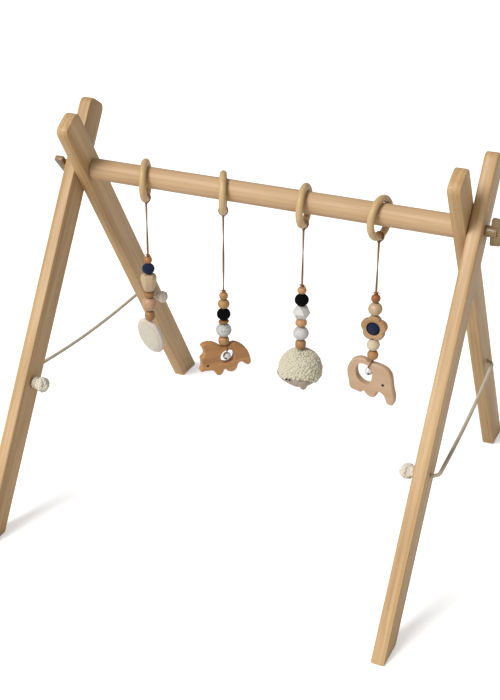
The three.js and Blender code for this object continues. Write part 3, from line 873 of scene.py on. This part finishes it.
# form, material, fullness, width in millimetres, slot
BEADS = {
    "toy1_bead_1_caramel": (ROUND, "caramel", 2.1, 11, "brown_wood"),
    "toy1_bead_2_navy": (KNIT, "navy", 2.0, 17, "navy_silicone"),
    "toy1_bead_3_barrel": (BARREL, "barrel", 2.0, 22.4, "cream_wood"),
    "toy1_bead_4_disc": (ROUND, "disc", 3.4, 15.2, "brown_wood"),
    "toy1_bead_5_blush": (ROUND, "blush", 2.1, 20.6, "blush_wood"),
    "toy1_bead_6_brown": (ROUND, "brown", 2.7, 14.2, "brown_wood"),
    "toy2_bead_1_tan": (ROUND, "tan", 2.1, 11.9, "tan_wood"),
    "toy2_bead_2_tan": (ROUND, "light_tan", 2.2, 15.9, "tan_wood"),
    "toy2_bead_3_black": (KNIT, "black", 2.0, 18.4, "black_silicone"),
    "toy2_bead_4_disc": (ROUND, "disc", 3.0, 14.2, "brown_wood"),
    "toy2_bead_5_speckled": (ROUND, "pitted", 2.0, 21, "speckled"),
    "toy2_bead_6_tan": (ROUND, "tan", 3.0, 14.8, "tan_wood"),
    "toy3_bead_1_tan": (ROUND, "pale_tan", 2.1, 12, "tan_wood"),
    "toy3_bead_2_black": (KNIT, "black", 2.0, 18.5, "black_silicone"),
    "toy3_bead_3_gem": (GEM, "white", 2.0, 24.2, "white_silicone"),
    "toy3_bead_4_tan": (ROUND, "pale_tan", 2.2, 15.3, "tan_wood"),
    "toy3_bead_5_speckled": (ROUND, "speckled", 2.0, 20.6, "speckled"),
    "toy3_bead_6_brown": (ROUND, "brown", 2.8, 14.2, "brown_wood"),
    "toy4_bead_1_russet": (ROUND, "russet", 2.1, 11.9, "brown_wood"),
    "toy4_bead_2_cream": (ROUND, "cream", 2.0, 18, "cream_wood"),
    "toy4_bead_3_cream": (ROUND, "pale_cream", 2.0, 16.6, "cream_wood"),
    "toy4_bead_4_tan": (ROUND, "tan", 2.5, 14.2, "tan_wood"),
}
TILTED = {"toy2_bead_4_disc": 7, "toy1_bead_4_disc": -3}

for node, (form, finish, fullness, width, slot) in BEADS.items():
    low, high = (corner[2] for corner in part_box(node))
    middle = (low + high) / 2
    toy = node[:4]
    radius = 0.0005 * width
    if form == ROUND:
        made = turned(bead_profile(radius, low, high, fullness), 64)
    elif form == KNIT:
        profile = bead_profile(radius, low, high, fullness, steps=KNIT_STEPS)
        made = turned(profile, KNIT_SIDES, stitches(radius, low, high))
    else:
        made = (barrel_points if form == BARREL else gem_points)(low, high, radius)
    tilt = Matrix.Rotation(-math.radians(TILTED.get(node, 0)), 4, "Y")
    place = at(TOYS[toy]["x"], 0, middle, tilt) @ at(0, 0, -middle)
    bead = Shape().add(made, place=place).piece(node.replace("_bead_", "_turned_"), finish)
    if form in EDGE_CUTS:
        bevelled(bead, EDGE_CUTS[form], 4, 12)
        add_smoothing(bead, 30)
    hand_over(bead, toy + "_string", slot, node)

# ------ flower

FLOWER_X = TOYS["toy4"]["x"]
FLOWER_HEIGHT = 0.2778
HALF_FLOWER = 0.0095 / 2
PETAL_TIP, PETAL_VALLEY, FLOWER_HOLE = 0.0174, 0.0142, 0.0089
PETAL_EDGE = 0.0026
INSERT_RADIUS = 0.0085


def petals(sides=160, steps=8):
    """A five-petalled disc with rounded rims round a central hole, facing -Y."""
    half, lip = HALF_FLOWER, 0.0007
    turn = [(1 - math.cos(t), 1 - math.sin(t)) for t in (QUARTER * k / steps for k in range(steps + 1))]
    rows = [(PETAL_EDGE * b, -half + PETAL_EDGE * a, False) for a, b in turn]
    rows += [(PETAL_EDGE * a, half - PETAL_EDGE * b, False) for a, b in turn]
    rows += [(lip, half, True), (0, half - lip, True), (0, -half + lip, True), (lip, -half, True)]
    points = []
    for inset, depth, inner in rows:
        for angle in circle(sides):
            wave = abs(math.cos(5 * (angle - QUARTER) / 2)) ** 0.8
            outline = PETAL_VALLEY + (PETAL_TIP - PETAL_VALLEY) * wave - inset
            reach = FLOWER_HOLE + inset if inner else outline
            points.append((reach * math.cos(angle), depth, reach * math.sin(angle)))
    return points, [[a, d, c, b] for a, b, c, d in ring_faces(len(rows), sides, True)]


shape = Shape().add(petals(), 0, at(FLOWER_X, 0, FLOWER_HEIGHT))
# painted shade: a thin dark sleeve, in the eyes' dark wood, covers the hole's wall round the insert
painted_shade_sleeve = [(FLOWER_HOLE, -HALF_FLOWER + 0.0004), (FLOWER_HOLE, HALF_FLOWER - 0.0004)]
painted_shade_sleeve += [(0.0086, HALF_FLOWER), (0.0086, -HALF_FLOWER)]
shape.add(turned(painted_shade_sleeve, 72), 1, at(FLOWER_X, 0, FLOWER_HEIGHT, Matrix.Rotation(QUARTER, 4, "X")))
flower = shape.piece("toy4_petals", "flower", "burnt_and_shade")
hand_over(flower, "toy4_string", "tan_wood", "toy4_flower")

profile = bead_profile(INSERT_RADIUS, -INSERT_RADIUS * 0.98, INSERT_RADIUS * 0.98, steps=KNIT_STEPS)
made = turned(profile, KNIT_SIDES, stitches(INSERT_RADIUS, -INSERT_RADIUS, INSERT_RADIUS))
place = at(FLOWER_X, 0, FLOWER_HEIGHT, Matrix.Diagonal((1, 0.8, 1, 1)))
insert = Shape().add(made, place=place).piece("toy4_insert", "navy")
hand_over(insert, "toy4_string", "navy_silicone", "toy4_flower_centre")

# ------ wooden animals

# eye and tie are millimetres across and up from the charm's holder; a tie's third number says how far
# it stands out of the plate, from 1 in front to -1 behind
ANIMALS = {
    "toy2_wooden_dinosaur": dict(
        turn=45, finish="dinosaur", eye=(-24.5, -25.6), eye_size=1.5,
        tie=[(0.4, 0.4, 0), (0.9, 0.0, 0.8), (2.0, -2.4, 1), (3.6, -6.0, 1), (4.1, -8.1, 0.6),
             (4.2, -8.6, 0), (4.1, -8.1, -0.6), (3.6, -6.0, -1), (2.0, -2.4, -1), (0.5, 0.0, -0.8)],
    ),
    "toy4_wooden_elephant": dict(
        turn=0, finish="elephant", eye=(17.1, -27.8), eye_size=1.7,
        tie=[(0.0, 1.0, 0), (-0.3, 0.6, 0.8), (-1.4, -2.2, 1), (-3.1, -4.9, 1), (-3.9, -6.8, 0.6),
             (-4.0, -7.4, 0), (-3.9, -6.8, -0.6), (-3.1, -4.9, -1), (-1.4, -2.2, -1), (-0.3, 0.6, -0.8)],
    ),
}
HOLDER_DROP = 0.0003
HALF_PLATE = 0.005
TIE_STAND = HALF_PLATE + 0.0011
EYE_PROUD = 0.00002


def plate_ways(node):
    """The directions along a charm's plate and out of its front."""
    turn = math.radians(ANIMALS[node]["turn"])
    return aim(turn, 0), Vector((math.sin(turn), -math.cos(turn), 0))


def on_plate(node, across, up, out):
    """A point on a charm's plate: millimetres across and up from its holder, metres out in front."""
    along, front = plate_ways(node)
    toy = TOYS[node[:4]]
    base = Vector((toy["x"], 0, toy["low"] - HOLDER_DROP))
    return base + 0.001 * across * along + 0.001 * up * Z_AXIS + out * front


for node, facts in ANIMALS.items():
    finish_node(node, facts["finish"], 0.0, 40)
    toy, size = node[:4], 0.001 * facts["eye_size"]
    _, front = plate_ways(node)
    dish = [(0.02, -0.0001), (1.12, -0.0001), (1.12, 0.00002), (1, 0.00006), (0.85, 0.00002), (0.02, 0.00001)]
    eyes = Shape()
    for side in (-1, 1):
        spot = on_plate(node, *facts["eye"], side * (HALF_PLATE + EYE_PROUD))
        eyes.add(turned([(size * r, z) for r, z in dish], 32), 0, at(*spot, looking(side * front)))
    hand_over(eyes.piece(toy + "_eyes", "burnt_and_shade"), toy + "_charm", "brown_wood")

for node, facts in ANIMALS.items():
    toy, tie = node[:4], Shape()
    route = [on_plate(node, across, up, TIE_STAND * out) for across, up, out in facts["tie"]]
    strands(tie, smooth_path(route, 8, True), 2, 0.00042, 0.009, 0.00046, 7, True)
    hand_over(tie.piece(toy + "_tie", "cord"), toy + "_charm", "waxed_cord")

# ------ bells

BELL_RADIUS, BELL_LONG = 0.0053, 1.06
BELL_EYE = 0.0017
SLOT_FACING = math.radians(-78)


def jingle_bell(toy, middle, top, turn=0):
    """A hollow bell: a ridge where its halves meet, a slot that ends in two holes and an eye; the slot and
    holes are grey and black marks, painted shade for the openings.
    """
    shape = Shape()
    middle = Vector(middle)
    shape.add(ball((BELL_RADIUS, BELL_RADIUS, BELL_RADIUS * BELL_LONG), 56, 36), 0, at(*middle))
    ridge = [middle + BELL_RADIUS * aim(angle, 0) for angle in circle(64)]
    shape.add(tube(ridge, BELL_RADIUS * 0.055, 8, True))
    # the slot and its end holes are painted shade: raised grey and black marks instead of openings
    lifts = [math.radians(-162 + 144 * k / 30) for k in range(31)]
    arc = [middle + BELL_RADIUS * 0.985 * aim(SLOT_FACING, lift) for lift in lifts]
    shape.add(tube(arc, BELL_RADIUS * 0.045, 8), 1)
    for end in (arc[0], arc[-1]):
        shape.add(ball((BELL_RADIUS * 0.26,) * 3, 20, 12), 2, at(*end))
    eye_middle = Vector((middle.x, middle.y, top - BELL_EYE))
    shape.add(tube([eye_middle + BELL_EYE * aim(turn, angle) for angle in circle(40)], 0.0004, 8, True))
    crown = Vector((middle.x, middle.y, middle.z + 0.97 * BELL_RADIUS * BELL_LONG))
    eye_foot = Vector((middle.x, middle.y, top - 2 * BELL_EYE))
    if crown.z < eye_foot.z:
        shape.add(tube(smooth_path([crown, eye_foot], 4), 0.0006, 8))
    bell = shape.piece(toy + "_jingle_bell", "bell", "slot", "dot")
    hand_over(bell, toy + "_bell_body", "bell", toy + "_bell")


jingle_bell("toy2", (-0.05483, 0.00297, 0.1921), 0.2026, QUARTER / 2)
jingle_bell("toy4", (0.1475, 0, 0.2153), 0.2235)

# ------ plush pad

PLUSH_MIDDLE = Vector((TOYS["toy1"]["x"] + 0.0008, 0.0001, 0.2004))
PLUSH_TURN = Matrix.Rotation(math.radians(-8), 4, "Z") @ Matrix.Rotation(math.radians(53), 4, "Y")
PLUSH_PLACE = Matrix.Translation(PLUSH_MIDDLE) @ PLUSH_TURN
PAD_LONG, PAD_SHORT, PAD_THICK = 0.0280, 0.0185, 0.0080
PANEL_EDGE = 0.0048
SLACK = 0.94
PANELS_FULL, SIDES_FULL = 0.42, 0.92
VOXEL = 0.0014
MOST_MOVED = 0.0016
STUFFING_FRAMES = 20
CLOTH = dict(
    quality=5, mass=0.05, use_pressure=True, uniform_pressure_force=4.0, tension_stiffness=12,
    compression_stiffness=6, shear_stiffness=5, bending_stiffness=0.05,
)


def power(value, exponent):
    return math.copysign(abs(value) ** exponent, value)


def hump(value, width):
    return math.exp(-((value / width) ** 2))


def pad_reach(spot):
    """How far a spot is from the pad's middle; 1 is its edge."""
    return math.sqrt((spot.x / PAD_LONG) ** 2 + (spot.z / PAD_SHORT) ** 2)


def plush_shape():
    """Two oval panels on a side panel, a little slack before they are stuffed."""
    points = []
    across, up = 110, 60
    for j in range(up + 1):
        lift = -math.pi / 2 + math.pi * j / up
        flat, rise = power(math.cos(lift), PANELS_FULL), power(math.sin(lift), SIDES_FULL)
        for angle in circle(across):
            lump = 1 + 0.03 * noise.noise(Vector((2 * math.cos(angle), 2 * math.sin(angle), 2 * rise)))
            x = SLACK * PAD_LONG * flat * math.cos(angle) * lump
            z = -SLACK * PAD_SHORT * flat * math.sin(angle) * lump
            points.append((x, SLACK * PAD_THICK * rise, z))
    return Shape().add((points, ring_faces(up + 1, across)))


def stuff(piece):
    """Fills a closed piece by cloth simulation and keeps it close to its first shape."""
    remesh = piece.modifiers.new("remesh", "REMESH")
    remesh.mode = "VOXEL"
    remesh.voxel_size = VOXEL
    bpy.context.view_layer.objects.active = piece
    bpy.ops.object.modifier_apply(modifier="remesh")
    before = [v.co.copy() for v in piece.data.vertices]
    cloth = piece.modifiers.new("cloth", "CLOTH")
    for key, value in CLOTH.items():
        setattr(cloth.settings, key, value)
    cloth.settings.effector_weights.gravity = 0
    scene = bpy.context.scene
    for step in range(1, STUFFING_FRAMES + 1):
        scene.frame_set(step)
    bpy.ops.object.modifier_apply(modifier="cloth")
    for vertex, start in zip(piece.data.vertices, before):
        moved = vertex.co - start
        if moved.length > MOST_MOVED:
            vertex.co = start + moved * (MOST_MOVED / moved.length)
    scene.frame_set(1)


def make_plush():
    """The stuffed pad with its seams drawn in; gives the lines that the seams run along."""
    pad = plush_shape().piece("toy1_plush", "plush", "side_panel")
    stuff(pad)
    mesh = pad.data
    for vertex in mesh.vertices:
        co = vertex.co
        rim = max(0.0, min(1.0, (pad_reach(co) - 0.6) / 0.25))
        off_seam = abs(co.y) - PANEL_EDGE
        pucker = hump(off_seam, 0.0022) * math.sin(34 * math.atan2(co.z / PAD_SHORT, co.x / PAD_LONG))
        outwards = Vector((co.x, 0, co.z)).normalized()
        vertex.co = co - (0.0008 * hump(off_seam, 0.0008) + 0.00022 * pucker) * rim * outwards
        fold = math.exp(-((co.x - 0.013) ** 2 / 0.00006 + (co.z + 0.008) ** 2 / 0.00002))
        vertex.co.y += 0.0005 * fold * math.copysign(1, co.y) * math.sin(1300 * (co.x + 0.6 * co.z))
    for polygon in mesh.polygons:
        polygon.use_smooth = True
        middle = polygon.center
        polygon.material_index = 1 if abs(middle.y) < PANEL_EDGE and pad_reach(middle) > 0.7 else 0
    mesh.update()
    skin = BVHTree.FromPolygons([v.co for v in mesh.vertices], [p.vertices[:] for p in mesh.polygons])
    seams = []
    for side in (-1, 1):
        line = []
        for angle in circle(140):
            out = Vector((PAD_LONG * math.cos(angle), 0, PAD_SHORT * math.sin(angle)))
            start = 1.4 * out + Vector((0, side * PANEL_EDGE, 0))
            line.append(PLUSH_PLACE @ skin.ray_cast(start, -out)[0])
        seams.append(line)
    mesh.transform(PLUSH_PLACE)
    mesh.update()
    finer = pad.modifiers.new("finer", "SUBSURF")
    finer.levels = finer.render_levels = 1
    hand_over(pad, "toy1_charm", "plush", "toy1_plush_pad")
    return seams


def plush_seams(seams):
    """The sewn lines on both sides of the side panel and the loop that the cord holds."""
    shape = Shape()
    for line in seams:
        shape.add(tube(line, 0.0004, 6, True))
    top = Vector((TOYS["toy1"]["x"], 0, TOYS["toy1"]["low"] + 0.0002))
    loop = [top + Vector((0.0016 * math.sin(a), 0, 0.0028 * (math.cos(a) - 1))) for a in circle(32)]
    shape.add(tube(loop, 0.0007, 7, True))
    hand_over(shape.piece("toy1_plush_seams", "side_panel"), "toy1_charm", "plush")


plush_seams(make_plush())

# ------ crochet sheep

SHEEP_MIDDLE = Vector((TOYS["toy3"]["x"], 0, 0.1973))
SHEEP_RADIUS = 0.0277
CURLS, CURL_STEPS, CURL_TURNS = 900, 17, 1.8
FACE_WAY = Vector((0.08, -0.45, -0.89)).normalized()
SMOOTH_WAY = Vector((-0.70, -0.55, 0.35)).normalized()
EYES = (Vector((-0.299, -0.937, -0.180)), Vector((-0.115, -0.983, -0.146)))


def taper(way):
    """The ball's under side is flatter, towards the face."""
    low = max(0.0, min(1.0, (-way.z - 0.08) / 0.8))
    return 1 - 0.13 * low * low * (3 - 2 * low)


def sheep_ball():
    """A crocheted ball: spiral rows of stitches from top to bottom."""
    rows = 25

    def swell(way):
        lift = math.asin(max(-1, min(1, way.z)))
        share = (lift / math.pi + 0.5) * rows
        angle = math.atan2(way.y, way.x)
        band = math.floor(share)
        around = max(6, round(2 * math.pi * math.cos((band + 0.5 - rows / 2) / rows * math.pi) * 8.6))
        up = abs(math.sin(math.pi * share)) ** 0.6
        side = abs(math.sin(around / 2 * angle + (band % 2) * math.pi / 2)) ** 0.6
        lumps = 0.018 * noise.noise(2.3 * way + Vector((7, 1, 4)))
        return (1 + 0.022 * (up * side - 0.8) + lumps) * taper(way) - 1

    return ball((SHEEP_RADIUS, SHEEP_RADIUS * 0.97, SHEEP_RADIUS), 320, 200, swell)


def on_sheep(way, proud=0.0):
    way = Vector(way).normalized()
    flat = Vector((way.x, 0.97 * way.y, way.z))
    return SHEEP_MIDDLE + flat * (SHEEP_RADIUS * taper(way) + proud)


def curl(centre, out, picker, loose):
    """One lock of wool: a short coil of yarn that stands off the ball."""
    turn = looking(out) @ Matrix.Rotation(picker.uniform(0, 2 * math.pi), 4, "Z")
    tilt = Matrix.Rotation(picker.uniform(0.0, 0.3 + 0.8 * loose), 4, "X")
    radius = picker.uniform(0.0012, 0.0015) + 0.0008 * loose * picker.random()
    place = Matrix.Translation(centre) @ turn @ tilt
    line = []
    for k in range(CURL_STEPS + 1):
        share = k / CURL_STEPS
        reach = radius * (1 - 0.75 * share)
        line.append(place @ polar(reach, 2 * math.pi * CURL_TURNS * share, 0.0013 * share - 0.0005))
    thick = picker.uniform(0.0010, 0.0013)
    return tube(line, lambda t: thick * (0.6 + 0.4 * math.sin(math.pi * min(1, max(0, t)) ** 0.8)), 6)


def ear(root, tip, wide=0.0060, rows=44, sides=48):
    """A flat crocheted ear with a rounded point that follows the ball from root to tip."""
    root, tip = Vector(root).normalized(), Vector(tip).normalized()
    points = []
    for j in range(rows + 1):
        t = j / rows
        out = root.slerp(tip, t)
        ahead = root.slerp(tip, min(1.0, t + 0.02)) - root.slerp(tip, max(0.0, t - 0.02))
        across = ahead.normalized().cross(out).normalized()
        centre = on_sheep(out, 0.0012 + 0.0022 * t * t)
        breadth = wide * (1 - 0.35 * t) * max(0.0, 1 - t**3.5) ** 0.6
        depth = 0.0018 * max(0.0, 1 - t**5) ** 0.6
        row = abs(math.sin(math.pi * 8 * t)) ** 0.7
        for angle in circle(sides):
            stitch = row * abs(math.sin(5 * angle + math.pi / 2 * (math.floor(8 * t) % 2))) ** 0.7
            grow = 1 + 0.12 * (stitch - 0.7)
            wide_part = across * breadth * math.cos(angle) * grow
            thick_part = out * depth * math.sin(angle) * (grow + 0.3 * (stitch - 0.6))
            points.append(centre + wide_part + thick_part)
    return points, ring_faces(rows + 1, sides) + end_faces(rows + 1, sides)


def bare(way):
    """Where the ball shows its knitted face rather than fleece."""
    return way.dot(FACE_WAY) > 0.52 + 0.05 * noise.noise(4 * way)


def make_sheep():
    body = Shape().add(sheep_ball(), 0, at(*SHEEP_MIDDLE))
    body = body.piece("toy3_sheep", "wool", "grey_wool")
    for polygon in body.data.polygons:
        polygon.material_index = 1 if bare((polygon.center - SHEEP_MIDDLE).normalized()) else 0
    hand_over(body, "toy3_charm", "crochet", "toy3_crochet_sheep")

    picker = random.Random(11)
    fleece = Shape()
    for k in range(CURLS):
        lift = 1 - 2 * (k + 0.5) / CURLS
        way = polar(math.sqrt(1 - lift * lift), k * math.pi * (3 - math.sqrt(5)), lift)
        way = (way + 0.03 * Vector([picker.uniform(-1, 1) for _ in range(3)])).normalized()
        loose = max(0.0, min(1.0, 1.05 - 0.9 * max(0.0, way.dot(SMOOTH_WAY))))
        if bare(way) or way.z > 0.985 or min((way - eye).length for eye in EYES) < 0.1:
            continue
        fleece.add(curl(on_sheep(way, 0.0009 * loose - 0.0004), way, picker, loose))
    hand_over(fleece.piece("toy3_fleece", "wool"), "toy3_charm", "crochet")

    ears = Shape()
    ears.add(ear((0.48, -0.858, -0.173), (0.361, -0.364, -0.858)))
    ears.add(ear((-0.93, -0.30, -0.15), (-0.55, -0.06, -0.83)))
    hand_over(ears.piece("toy3_ears", "grey_wool"), "toy3_charm", "crochet")

    eyes = Shape()
    for way in EYES:
        eyes.add(ball((0.0014,) * 3, 20, 14), 0, at(*on_sheep(way, 0.0012)))
    hand_over(eyes.piece("toy3_eyes", "bead_eye"), "toy3_charm", "black_silicone")


make_sheep()

# ------ floor and light

FLOOR_GLOW = 0.36
FLOOR_REACH = 30
ROOM_LIGHT = 0.40
KEY_LIGHT = 2.95
KEY_WIDTH = math.radians(26)
KEY_FROM = (-0.45, -1.0, 1.0)
WHITE = (1, 1, 1, 1)


def make_stage():
    """A pale floor with a slight glow that only the camera sees."""
    finish = Finish("studio_floor", 0.9, (0.93, 0.93, 0.93))
    tint = finish.ramp(finish.noise(finish.coordinates(), 3.0, 2), (0.3, 0.92), (0.7, 0.94))
    seen = finish.node("ShaderNodeLightPath").outputs["Is Camera Ray"]
    finish.feed(finish.shader.inputs["Emission Color"], WHITE)
    finish.feed(finish.shader.inputs["Emission Strength"], finish.maths("MULTIPLY", seen, FLOOR_GLOW))
    mesh = bpy.data.meshes.new("studio_floor")
    corners = [(a * FLOOR_REACH, b * FLOOR_REACH, 0) for a, b in ((-1, -1), (1, -1), (1, 1), (-1, 1))]
    mesh.from_pydata(corners, [], [(0, 1, 2, 3)])
    mesh.materials.append(finish.dress(tint))
    linked("studio_floor", mesh)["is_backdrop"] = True


def make_light():
    """An even pale room, white behind the object, and one broad soft light from the front."""
    world = bpy.data.worlds.new("studio")
    bpy.context.scene.world = world
    world.use_nodes = True
    tree = world.node_tree
    room = tree.nodes["Background"]
    room.inputs["Color"].default_value = WHITE
    room.inputs["Strength"].default_value = ROOM_LIGHT
    behind = tree.nodes.new("ShaderNodeBackground")
    behind.inputs["Color"].default_value = WHITE
    mixed = tree.nodes.new("ShaderNodeMixShader")
    seen = tree.nodes.new("ShaderNodeLightPath")
    for source, into in (
        (seen.outputs["Is Camera Ray"], mixed.inputs[0]),
        (room.outputs[0], mixed.inputs[1]),
        (behind.outputs[0], mixed.inputs[2]),
        (mixed.outputs[0], tree.nodes["World Output"].inputs["Surface"]),
    ):
        tree.links.new(source, into)
    data = bpy.data.lights.new("key", "SUN")
    data.energy = KEY_LIGHT
    data.angle = KEY_WIDTH
    lamp = linked("key", data)
    lamp.rotation_euler = (-Vector(KEY_FROM)).to_track_quat("-Z", "Y").to_euler()


make_stage()
make_light()

both = {"cad": CAD_BOX, "visual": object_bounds()}
{key: [[float(v) for v in corner] for corner in box] for key, box in both.items()}
